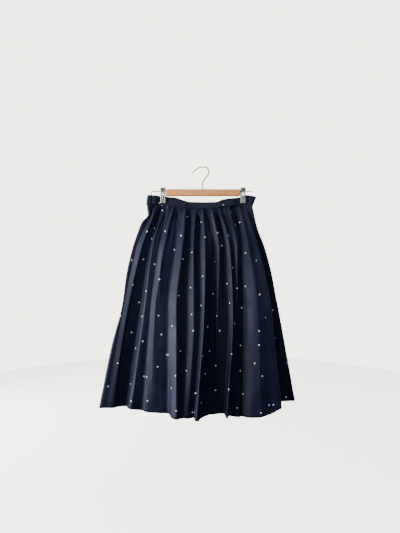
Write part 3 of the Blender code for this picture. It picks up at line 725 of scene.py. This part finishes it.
# Waistband: one strip folded in two over stiffening, its lower edges turned in round the gathers and
# topstitched. Its end laps over its start behind the right hip, where the button holds it.
BAND_WALL = 0.0024
BAND_HEIGHT = 0.028
BAND_EDGE = 0.0008
BAND_STITCH = 0.0022
SEAM_GAP = 0.0005
CLIP_PLACES = (("left", -0.1246), ("right", 0.1260))
LAP_RISE_START = 0.1345
LAP_RISE_END = 0.1385
LAP_START = 0.1400
LAP_SHY = 0.0050
BAND_LEFT_TURN = -0.169
BAND_RIGHT_TURN_TOP = 0.1635
BAND_RIGHT_TURN_FOOT = 0.1520
BAND_UPRIGHT = 0.12
BAND_WAISTED = 0.55
BAND_WAISTED_LEAN = 0.6
BAND_LEVELS = 14
BAND_MIDDLE = BAND_LEVELS // 2


def band_gap(across, level):
    """Half the gap between the band's faces: upright at its foot, then leaning in to its top."""
    lean = 0.0
    if level > BAND_WAISTED:
        lean = mix(BAND_WAISTED_LEAN, 1.0, (level - BAND_WAISTED) / (1 - BAND_WAISTED))
    elif level > BAND_UPRIGHT:
        lean = BAND_WAISTED_LEAN * (level - BAND_UPRIGHT) / (BAND_WAISTED - BAND_UPRIGHT)
    return mix(band_value("foot_gap", across), band_value("top_gap", across), lean)


def lap_rise(across):
    """How far the lapped end stands off the end that it covers."""
    return (BAND_WALL + SEAM_GAP) * smooth((across - LAP_RISE_START) / (LAP_RISE_END - LAP_RISE_START))


def band_plan(level):
    """Plan of the waistband at one level, 0 at its foot and 1 at its top, from end to end."""
    def run(start, end, count):
        return [mix(start, end, n / count) for n in range(count + 1)]

    def turn(centre, side):
        radius = band_gap(centre, level)
        angles = [math.pi * n / 12 for n in range(1, 12)]
        return [(centre + side * radius * math.sin(a), side * radius * math.cos(a)) for a in angles]

    right_turn = mix(BAND_RIGHT_TURN_FOOT, BAND_RIGHT_TURN_TOP, level)
    plan = [(x, band_gap(x, level)) for x in run(LAP_START, right_turn, 6)]
    plan += turn(right_turn, 1)
    plan += [(x, -band_gap(x, level)) for x in run(right_turn, BAND_LEFT_TURN, 150)]
    plan += turn(BAND_LEFT_TURN, -1)
    plan += [(x, band_gap(x, level)) for x in run(BAND_LEFT_TURN, LAP_RISE_START, 130)]
    for x in run(LAP_RISE_START, right_turn - LAP_SHY, 14)[1:]:
        plan.append((x, band_gap(x, level) + lap_rise(x)))
    return plan


band_grid = []
for n in range(BAND_LEVELS + 1):
    level = 1 - n / BAND_LEVELS
    row = []
    for x, y in band_plan(level):
        row.append((x, y, mix(band_value("foot", x), band_value("top", x), level)))
    band_grid.append(row)
band_grid = np.array(band_grid)
band_steps = np.linalg.norm(np.diff(band_grid[BAND_MIDDLE], axis=0), axis=1)
band_along = np.concatenate([[0.0], np.cumsum(band_steps)])

# Puckers at the seam, ripples and troughs in the band, none of them where a clip holds it flat
PINCH_HALF = 0.010
PINCH_FADE = 0.012
PUCKER = 0.00035
RIPPLE = 0.0005
WAVE_MOST = 0.0006
TROUGH_WIDTH = 0.0035
TROUGH_LEAN = 0.003
BAND_TROUGHS = ((-0.1590, 0.0016), (0.1420, 0.0009), (-0.1480, -0.0008), (0.1510, -0.0007))
pinch = np.ones(len(band_along))
for side_name, middle in CLIP_PLACES:
    off_clip = np.abs(band_grid[BAND_MIDDLE, :, 0] - middle) - PINCH_HALF
    pinch *= np.clip(off_clip / PINCH_FADE, 0, 1)
band_out = outward(band_grid, 1)
for n in range(BAND_LEVELS + 1):
    level = 1 - n / BAND_LEVELS
    pucker = PUCKER * (1 - level) ** 2 * np.sin(band_along * 620) * np.sin(band_along * 171 + 1)
    ripple = RIPPLE * np.sin(band_along * 47 + 2.2 * level) * np.sin(band_along * 19 + 1.0)
    wave = pinch * np.minimum(pucker + ripple, WAVE_MOST)
    wave += sum(depth * np.exp(-((band_grid[n, :, 0] - at - TROUGH_LEAN * level) / TROUGH_WIDTH) ** 2)
                for at, depth in BAND_TROUGHS)
    band_grid[n] -= band_out[n] * wave[:, None]


def place_on_band(quad, r, column):
    level = 1 - r / BAND_LEVELS
    return band_along[column], BAND_HEIGHT * (1 - level)


band_rim = np.zeros((*band_grid.shape[:2], 2))
for n in range(BAND_LEVELS + 1):
    band_rim[n, :, 0] = band_grid[0, :, 2] - band_grid[n, :, 2]
    band_rim[n, :, 1] = band_grid[n, :, 2] - band_grid[-1, :, 2]
band = sheet_mesh("waistband_cloth", band_grid, place_on_band, -1, band_rim)
thicken(band, BAND_WALL, BAND_EDGE)
band_dotted = cloth_material("navy_sateen_band", shift=(0.020, 0.046), seams=((1, BAND_STITCH),))
band.data.materials.append(band_dotted)
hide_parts("waistband")
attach(band, "root")


# Belt loops: narrow strips with turned-in edges, stitched down along both sides and
# bar-tacked to the band at top and foot, so that each stands a little off it between.
LOOP_PLACES = (("front_left", -0.056, -1), ("front_right", 0.053, -1),
               ("back_left", -0.058, 1), ("back_right", 0.060, 1))
LOOP_WIDTH = 0.011
LOOP_WALL = 0.0014
LOOP_EDGE = 0.0004
LOOP_STITCH = 0.0016
LOOP_STEPS = 18
LOOP_TOP_LEVEL = 0.97
LOOP_FOOT_LEVEL = 0.05
LOOP_BOW = 0.0022
LOOP_CROWN = 0.00025
loop_seams = ((0, LOOP_STITCH), (1, LOOP_STITCH))
loop_cloth = cloth_material("navy_sateen_loops", dots=False, seams=loop_seams)
for side_name, across, facing in LOOP_PLACES:
    span = band_value("top", across) - band_value("foot", across)
    rows = []
    for n in range(LOOP_STEPS + 1):
        level = mix(LOOP_TOP_LEVEL, LOOP_FOOT_LEVEL, n / LOOP_STEPS)
        bow = LOOP_BOW * math.sin(math.pi * n / LOOP_STEPS) ** 0.7
        row = []
        for m in range(-4, 5):
            x = across + m / 4 * LOOP_WIDTH / 2
            crown = LOOP_CROWN * (1 - (m / 4) ** 2)
            away = band_gap(x, level) + BAND_WALL / 2 + SEAM_GAP + LOOP_WALL / 2 + bow + crown
            row.append((x, facing * away, mix(band_value("foot", x), band_value("top", x), level)))
        rows.append(row)
    loop_grid = np.array(rows)
    loop_rim = np.zeros((*loop_grid.shape[:2], 2))
    loop_rim[:, :, 0] = (loop_grid[:, :, 0] - across) + LOOP_WIDTH / 2
    loop_rim[:, :, 1] = LOOP_WIDTH / 2 - (loop_grid[:, :, 0] - across)

    def place_on_loop(quad, r, column, length=span):
        return length * r / LOOP_STEPS, LOOP_WIDTH * column / 8

    loop = sheet_mesh("belt_loop_" + side_name + "_cloth", loop_grid, place_on_loop, facing, loop_rim)
    thicken(loop, LOOP_WALL, LOOP_EDGE)
    loop.data.materials.append(loop_cloth)
    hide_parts("belt_loop_" + side_name)
    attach(loop, "root")


# Button: a small four-hole button of dark polished horn, sewn to the lapped end of the waistband.
# It is turned on the lathe: a dished face inside a raised rim, then drilled.
BUTTON_RADIUS = 0.0056
BUTTON_THICK = 0.0024
BUTTON_RIM = 0.0009
BUTTON_DISH = 0.0007
BUTTON_EDGE = 0.0004
BUTTON_HOLE = 0.0008
BUTTON_HOLE_OFF = 0.0014
BUTTON_SHANK = 0.0008
HORN_DARK = (0.008, 0.010, 0.020, 1)
HORN_LIGHT = (0.035, 0.040, 0.065, 1)


def active(made):
    bpy.ops.object.select_all(action="DESELECT")
    made.select_set(True)
    bpy.context.view_layer.objects.active = made


def drill(made, radius, depth, place, turn=(0.0, 0.0, 0.0), sides=32):
    """A round hole in a piece, cut with a rod that is then thrown away."""
    bpy.ops.mesh.primitive_cylinder_add(vertices=sides, radius=radius, depth=depth,
                                        location=place, rotation=turn)
    bit = bpy.context.active_object
    hole = made.modifiers.new("hole", "BOOLEAN")
    hole.operation = "DIFFERENCE"
    hole.solver = "EXACT"
    hole.object = bit
    apply_modifiers(made)
    bpy.data.objects.remove(bit)


BUTTON_PLACE = Vector((0.1470, 0.0, -0.1040))
button_foot = band_value("foot", BUTTON_PLACE.x)
button_level = (BUTTON_PLACE.z - button_foot) / (band_value("top", BUTTON_PLACE.x) - button_foot)
BUTTON_PLACE.y = band_gap(BUTTON_PLACE.x, button_level) + lap_rise(BUTTON_PLACE.x)
BUTTON_PLACE.y += BAND_WALL / 2 + BUTTON_SHANK
bpy.ops.object.select_all(action="DESELECT")
bpy.ops.mesh.primitive_cylinder_add(vertices=48, radius=BUTTON_RADIUS, depth=BUTTON_THICK,
                                    location=(0.0, 0.0, BUTTON_THICK / 2))
button = bpy.context.active_object
button.name = "button_turned"
bpy.ops.object.transform_apply(location=True, rotation=False, scale=False)
bpy.ops.object.mode_set(mode="EDIT")
bpy.ops.mesh.select_mode(type="FACE")
bpy.ops.mesh.select_all(action="DESELECT")
bpy.ops.object.mode_set(mode="OBJECT")
for face in button.data.polygons:
    face.select = face.normal.z > 0.9
bpy.ops.object.mode_set(mode="EDIT")
bpy.ops.mesh.inset(thickness=BUTTON_RIM)
bpy.ops.mesh.inset(thickness=BUTTON_RIM, depth=-BUTTON_DISH)
bpy.ops.object.mode_set(mode="OBJECT")
bevel(button, BUTTON_EDGE, 3)
for x, y in ((1, 1), (1, -1), (-1, 1), (-1, -1)):
    drill(button, BUTTON_HOLE, 0.010, (x * BUTTON_HOLE_OFF, y * BUTTON_HOLE_OFF, 0), sides=16)
button.data.transform(Matrix.Translation(BUTTON_PLACE) @ Matrix.Rotation(math.radians(-90), 4, "X"))
active(button)
bpy.ops.object.mode_set(mode="EDIT")
bpy.ops.mesh.select_all(action="SELECT")
bpy.ops.mesh.normals_make_consistent(inside=False)
bpy.ops.object.mode_set(mode="OBJECT")
bpy.ops.object.shade_smooth_by_angle(angle=math.radians(35))
made, tree, shader = new_material("button_navy_horn")
place = node(tree, "ShaderNodeTexCoord").outputs["Object"]
swirl = noise_of(tree, place, 260.0, 3.0)
tree.links.new(blend(tree, swirl, HORN_DARK, HORN_LIGHT), shader.inputs["Base Color"])
tree.links.new(ramp(tree, swirl, 0.2, 0.8, 0.18, 0.32), shader.inputs["Roughness"])
button.data.materials.append(made)
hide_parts("button")
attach(button, "root")


# Hanger bar: a planed beech batten with eased edges under a thin clear varnish, drilled from end to end
# for the steel rod and on top for the hook. Its grain and its pores run along it.
BAR_EDGE = 0.0028
ROD_HEIGHT = -0.075
ROD_HOLE = 0.0018
HOOK_HOLE = 0.0021
HOOK_HOLE_HEIGHT = -0.0668
BEECH = (0.80, 0.29, 0.078, 1)
BEECH_PALE = (0.92, 0.40, 0.125, 1)
BEECH_PORE = (0.42, 0.20, 0.10, 1)
BEECH_BROWN = (0.68, 0.27, 0.10, 1)


def block(name, solid):
    """A plain block, the size and place of one of the frame's solids."""
    low, high = [Vector(corner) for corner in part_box(solid)]
    bpy.ops.object.select_all(action="DESELECT")
    bpy.ops.mesh.primitive_cube_add(size=1.0, location=(low + high) / 2)
    made = bpy.context.active_object
    made.name = name
    made.scale = high - low
    bpy.ops.object.transform_apply(location=True, rotation=True, scale=True)
    return made


bar = block("hanger_bar_beech", "hanger_bar")
bevel(bar, BAR_EDGE, 5)
drill(bar, ROD_HOLE, 0.3, (0.0, 0.0, ROD_HEIGHT), (0, math.radians(90), 0))
drill(bar, HOOK_HOLE, 0.010, (0.0, 0.0, HOOK_HOLE_HEIGHT))
active(bar)
bpy.ops.object.shade_smooth_by_angle(angle=math.radians(40))
made, tree, shader = new_material("beech_varnished")
place = node(tree, "ShaderNodeTexCoord").outputs["Object"]
along_grain = [node(tree, "ShaderNodeMapping", {"Vector": place, "Scale": scale}).outputs[0]
               for scale in ((9.0, 120.0, 240.0), (60.0, 900.0, 1500.0), (5.0, 30.0, 30.0))]
grain = noise_of(tree, along_grain[0], 1.0, 4.0)
pores = noise_of(tree, along_grain[1], 1.0)
broad = noise_of(tree, along_grain[2], 1.0)
tint = blend(tree, ramp(tree, grain, 0.3, 0.7), BEECH, BEECH_PALE)
tint = blend(tree, calc(tree, "MULTIPLY", ramp(tree, pores, 0.60, 0.74), 0.5), tint, BEECH_PORE)
tint = blend(tree, calc(tree, "MULTIPLY", broad, 0.25), tint, BEECH_BROWN)
tree.links.new(tint, shader.inputs["Base Color"])
tree.links.new(ramp(tree, grain, 0.3, 0.7, 0.36, 0.50), shader.inputs["Roughness"])
tree.links.new(bump(tree, pores, 0.0002, 0.25), shader.inputs["Normal"])
bar.data.materials.append(made)
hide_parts("hanger_bar")
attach(bar, "root")


# Steel wire: the rod through the bar, bent down at its left end and back at its right, and the hook
# screwed into the bar. Both are drawn wire, polished, with a colour painted near black: painted shade for the
# dark room it reflects.
def metal(name, dark, light, smoothest, roughest):
    made, tree, shader = new_material(name)
    place = node(tree, "ShaderNodeTexCoord").outputs["Object"]
    scuff = noise_of(tree, place, 400.0, 3.0)
    tree.links.new(blend(tree, scuff, (*dark, 1), (*light, 1)), shader.inputs["Base Color"])
    tree.links.new(ramp(tree, scuff, 0.3, 0.7, smoothest, roughest), shader.inputs["Roughness"])
    tree.links.new(bump(tree, scuff, 0.00004, 0.2), shader.inputs["Normal"])
    shader.inputs["Metallic"].default_value = 1.0
    return made


# Painted shade: the steel's colour is set near black, far darker than bare steel, to stand in for the dark
# surroundings it reflects
steel = metal("drawn_steel_wire_painted_dark", (0.014, 0.014, 0.015), (0.030, 0.030, 0.031), 0.24, 0.36)


def wire(name, points, radius, replaced):
    """A round wire along points, in the place of one of the frame's solids."""
    curve = bpy.data.curves.new(name, "CURVE")
    curve.dimensions = "3D"
    curve.bevel_depth = radius
    curve.bevel_resolution = 5
    curve.use_fill_caps = True
    path = curve.splines.new("POLY")
    path.points.add(len(points) - 1)
    for knot, point in zip(path.points, points):
        knot.co = (*point, 1.0)
    path.use_smooth = True
    curve.materials.append(steel)
    made = bpy.data.objects.new(name, curve)
    bpy.context.scene.collection.objects.link(made)
    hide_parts(replaced)
    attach(made, "root")
    return made


ROD_RADIUS = 0.0015
ROD_LEFT = -0.162
ROD_RIGHT = 0.154
ROD_BEND = 0.004
ROD_TAIL = 0.012
BEND_STEPS = 10
left_bend = Vector((ROD_LEFT + ROD_BEND, 0.0, ROD_HEIGHT - ROD_BEND))
rod = [(ROD_LEFT, 0.0, left_bend.z - ROD_TAIL)]
for n in range(BEND_STEPS + 1):
    angle = math.radians(180 - 90 * n / BEND_STEPS)
    rod.append((left_bend.x + ROD_BEND * math.cos(angle), 0.0, left_bend.z + ROD_BEND * math.sin(angle)))
for n in range(BEND_STEPS + 1):
    angle = math.radians(270 + 90 * n / BEND_STEPS)
    across = ROD_RIGHT - ROD_BEND + ROD_BEND * math.cos(angle)
    rod.append((across, ROD_BEND + ROD_BEND * math.sin(angle), ROD_HEIGHT))
rod.append((ROD_RIGHT, ROD_BEND + ROD_TAIL / 2, ROD_HEIGHT))
wire("hanger_rod_wire", rod, ROD_RADIUS, "hanger_rod")

# The hook in the front view, in millimetres, from the top of its straight shank to its tip
HOOK_RADIUS = 0.0018
HOOK_FOOT = -0.0715
HOOK_PATH = ((0.0, -47.0), (2.4, -41.5), (9.5, -32.5), (16.0, -24.0), (18.9, -14.5), (17.0, -6.0),
             (11.0, -0.2), (1.5, 1.8), (-8.5, 0.4), (-17.0, -3.8), (-25.0, -10.0), (-33.0, -17.0))
HOOK_SPANS = (6,)
hook_knots = [Vector(knot) * MM for knot in HOOK_PATH]
bends = spline(hook_knots, HOOK_SPANS, Vector((0.0, 0.006)), Vector((-0.006, -0.005)))
hook = [(0.0, 0.0, HOOK_FOOT)] + [(bend.x, 0.0, bend.y) for bend in bends]
wire("hanger_hook_wire", hook, HOOK_RADIUS, "hanger_hook")


# Clips: each has two pressed steel jaws, nickel plated, with side ears that reach round the rod, a spring
# coiled on the rod that pushes their tops apart, and a black rubber pad inside each foot.
# Ribs, a pressed boss and a knurled grip stiffen each jaw.
JAW_HALF = 0.0080
JAW_WALL = 0.0010
EAR_REACH = 0.0021
EAR_FOOT = -0.0776
EAR_TOP = -0.0724
JAW_HEIGHTS = (-0.1126, -0.0995, -0.0900, -0.0775, -0.0725, -0.0690, -0.0644)
JAW_BENDS = (0.00525, 0.00525, 0.0066, 0.0051, 0.0062, 0.0086, 0.0096)
JAW_EDGE = 0.0002
RIB_RISE = 0.0007
RIB_AT = 0.72
RIB_WIDTH = 0.13
RIB_TOP = -0.0745
BOSS_RISE = 0.0009
BOSS_HEIGHT = -0.094
KNURL_RISE = 0.00035
KNURL_PITCH = 0.0016
KNURL_FOOT = -0.0725
LIP_TURN = 0.0004
LIP_TOP = -0.1105
nickel = metal("nickel_plated_clips", (0.58, 0.565, 0.53), (0.78, 0.76, 0.72), 0.34, 0.48)

bpy.ops.object.select_all(action="DESELECT")
bpy.ops.mesh.primitive_grid_add(x_subdivisions=20, y_subdivisions=56, size=1.0, location=(0.0, 0.0, 0.0))
pressed = bpy.context.active_object
for vert in pressed.data.vertices:
    s = vert.co.x * 2
    z = mix(JAW_HEIGHTS[0], JAW_HEIGHTS[-1], vert.co.y + 0.5)
    rib = RIB_RISE * math.exp(-((abs(s) - RIB_AT) / RIB_WIDTH) ** 2) * smooth((RIB_TOP - z) / 0.002)
    boss = BOSS_RISE * smooth(1.25 - math.hypot(s / 0.40, (z - BOSS_HEIGHT) / 0.0085))
    ridges = 0.5 + 0.5 * math.sin(z * math.tau / KNURL_PITCH)
    knurl = KNURL_RISE * ridges * smooth((z - KNURL_FOOT) / 0.001)
    lip = LIP_TURN * smooth((LIP_TOP - z) / 0.0012)
    vert.co = (s * JAW_HALF, -curve_through(JAW_HEIGHTS, JAW_BENDS, z) - rib - boss - knurl + lip, z)
active(pressed)
bpy.ops.object.mode_set(mode="EDIT")
for side in (-1, 1):
    bpy.ops.mesh.select_mode(type="EDGE")
    bpy.ops.mesh.select_all(action="DESELECT")
    bpy.ops.object.mode_set(mode="OBJECT")
    places = [vert.co for vert in pressed.data.vertices]
    for edge in pressed.data.edges:
        ends = [places[n] for n in edge.vertices]
        edge.select = all(end.x * side > JAW_HALF - 0.0001 and EAR_FOOT < end.z < EAR_TOP for end in ends)
    bpy.ops.object.mode_set(mode="EDIT")
    bpy.ops.mesh.extrude_edges_move()
    bpy.ops.transform.resize(value=(1.0, 0.0, 1.0), center_override=(0.0, -EAR_REACH, 0.0))
bpy.ops.mesh.select_all(action="SELECT")
bpy.ops.mesh.normals_make_consistent(inside=False)
bpy.ops.object.mode_set(mode="OBJECT")
thicken(pressed, JAW_WALL, JAW_EDGE)
active(pressed)
bpy.ops.object.shade_smooth_by_angle(angle=math.radians(40))
pressed.data.materials.append(nickel)

for side_name, across in CLIP_PLACES:
    for face_name, facing in (("front", -1), ("back", 1)):
        name = "clip_%s_%s_jaw" % (side_name, face_name)
        jaw = bpy.data.objects.new(name + "_pressed", pressed.data.copy())
        bpy.context.scene.collection.objects.link(jaw)
        jaw.data.transform(Matrix.Translation((across, 0.0, 0.0)) @ Matrix.Diagonal((1.0, -facing, 1.0, 1.0)))
        if facing > 0:
            jaw.data.flip_normals()
        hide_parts(name)
        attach(jaw, "root")
bpy.data.objects.remove(pressed)

PAD_EDGE = 0.0005
RUBBER_DARK = (0.008, 0.008, 0.009, 1)
RUBBER_WORN = (0.022, 0.022, 0.024, 1)
rubber, tree, shader = new_material("black_rubber")
place = node(tree, "ShaderNodeTexCoord").outputs["Object"]
grit = noise_of(tree, place, 1400.0, 2.0)
tree.links.new(blend(tree, grit, RUBBER_DARK, RUBBER_WORN), shader.inputs["Base Color"])
tree.links.new(ramp(tree, grit, 0.3, 0.7, 0.6, 0.85), shader.inputs["Roughness"])
tree.links.new(bump(tree, grit, 0.0001, 0.5), shader.inputs["Normal"])

COIL_TURNS = 5
COIL_STEPS = 16 * COIL_TURNS
COIL_HALF = 0.0054
COIL_RADIUS = 0.0031
COIL_WIRE = 0.0008
for side_name, across in CLIP_PLACES:
    for face_name in ("front", "back"):
        pad_name = "clip_%s_%s_pad" % (side_name, face_name)
        pad = block(pad_name + "_rubber", pad_name)
        bevel(pad, PAD_EDGE, 3)
        active(pad)
        bpy.ops.object.shade_smooth_by_angle(angle=math.radians(40))
        pad.data.materials.append(rubber)
        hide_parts(pad_name)
        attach(pad, "root")

    coil = []
    for n in range(COIL_STEPS + 1):
        angle = math.tau * n * COIL_TURNS / COIL_STEPS
        x = across - COIL_HALF + 2 * COIL_HALF * n / COIL_STEPS
        coil.append((x, COIL_RADIUS * math.cos(angle), ROD_HEIGHT + COIL_RADIUS * math.sin(angle)))
    wire("clip_%s_spring_wire" % side_name, coil, COIL_WIRE, "clip_%s_spring" % side_name)


# Stage: a pale matt floor well below the hem. It belongs to the view and not to the object,
# and it throws no light back on the cloth.
bpy.ops.object.select_all(action="DESELECT")
bpy.ops.mesh.primitive_circle_add(vertices=96, radius=2.6, fill_type="NGON", location=(0.0, 0.4, -1.25))
floor = bpy.context.active_object
floor.name = "stage_floor"
pale, tree, shader = new_material("stage_floor")
place = node(tree, "ShaderNodeTexCoord").outputs["Object"]
mottle = noise_of(tree, place, 2.2, 3.0)
tree.links.new(blend(tree, mottle, (0.80, 0.80, 0.77, 1), (0.83, 0.83, 0.80, 1)), shader.inputs["Base Color"])
shader.inputs["Roughness"].default_value = 0.9
shader.inputs["Specular IOR Level"].default_value = 0.1
floor.data.materials.append(pale)
floor.visible_diffuse = False
floor.visible_glossy = False


# Light: a wide window far to the left, weak lamps in front, behind and to the right, and a broad one
# that faces down onto the floor. The room is pale where the camera sees it, and gives little light.
def lamp(name, place, target, size, power, tone=(1.0, 1.0, 1.0)):
    data = bpy.data.lights.new(name, "AREA")
    data.shape = "RECTANGLE"
    data.size, data.size_y = size
    data.energy = power
    data.color = tone
    made = bpy.data.objects.new(name, data)
    made.location = place
    made.rotation_euler = (Vector(target) - Vector(place)).to_track_quat("-Z", "Y").to_euler()
    bpy.context.scene.collection.objects.link(made)


lamp("window", (-3.6, -1.02, -0.62), (0.0, -0.95, -0.52), (3.1, 1.9), 500, (0.96, 0.97, 1.0))
lamp("fill", (0.4, -1.7, 1.6), (0.0, 0.0, -0.4), (1.6, 1.0), 47, (0.90, 0.95, 1.0))
lamp("behind", (-1.6, 1.5, 0.2), (0.0, 0.0, -0.4), (0.9, 1.4), 75, (0.96, 0.96, 1.0))
lamp("right", (2.2, 1.0, -0.3), (0.0, 0.0, -0.45), (0.9, 1.4), 14, (0.95, 0.96, 1.0))
lamp("floor", (0.0, 0.4, -0.82), (0.0, 0.4, -1.25), (6.0, 6.0), 430, (1.0, 0.995, 0.975))
room = bpy.data.worlds.new("room")
room.use_nodes = True
tree = room.node_tree
dim = tree.nodes["Background"]
dim.inputs[0].default_value = (0.93, 0.95, 1.0, 1)
dim.inputs[1].default_value = 0.06
seen = node(tree, "ShaderNodeBackground", {0: (0.88, 0.88, 0.78, 1), 1: 4.8}).outputs[0]
ray = node(tree, "ShaderNodeLightPath").outputs["Is Camera Ray"]
both = node(tree, "ShaderNodeMixShader", {0: ray, 1: dim.outputs[0], 2: seen}).outputs[0]
tree.links.new(both, tree.nodes["World Output"].inputs["Surface"])
bpy.context.scene.world = room


# Camera: level and square to the hanger, at the photo's height and distance,
# with its lens length set from the photo's shape.
SENSOR_HEIGHT = 24.0
PHOTO_SHAPE = 400.0 / 533.0
camera = bpy.data.objects.new("camera", bpy.data.cameras.new("camera"))
camera.data.sensor_fit = "VERTICAL"
camera.data.sensor_height = SENSOR_HEIGHT
camera.data.lens = SENSOR_HEIGHT * PHOTO_SHAPE
camera.location = (-0.0088, -1.256, -0.3109)
camera.rotation_euler = (math.radians(90), 0.0, 0.0)
bpy.context.scene.collection.objects.link(camera)
bpy.context.scene.camera = camera
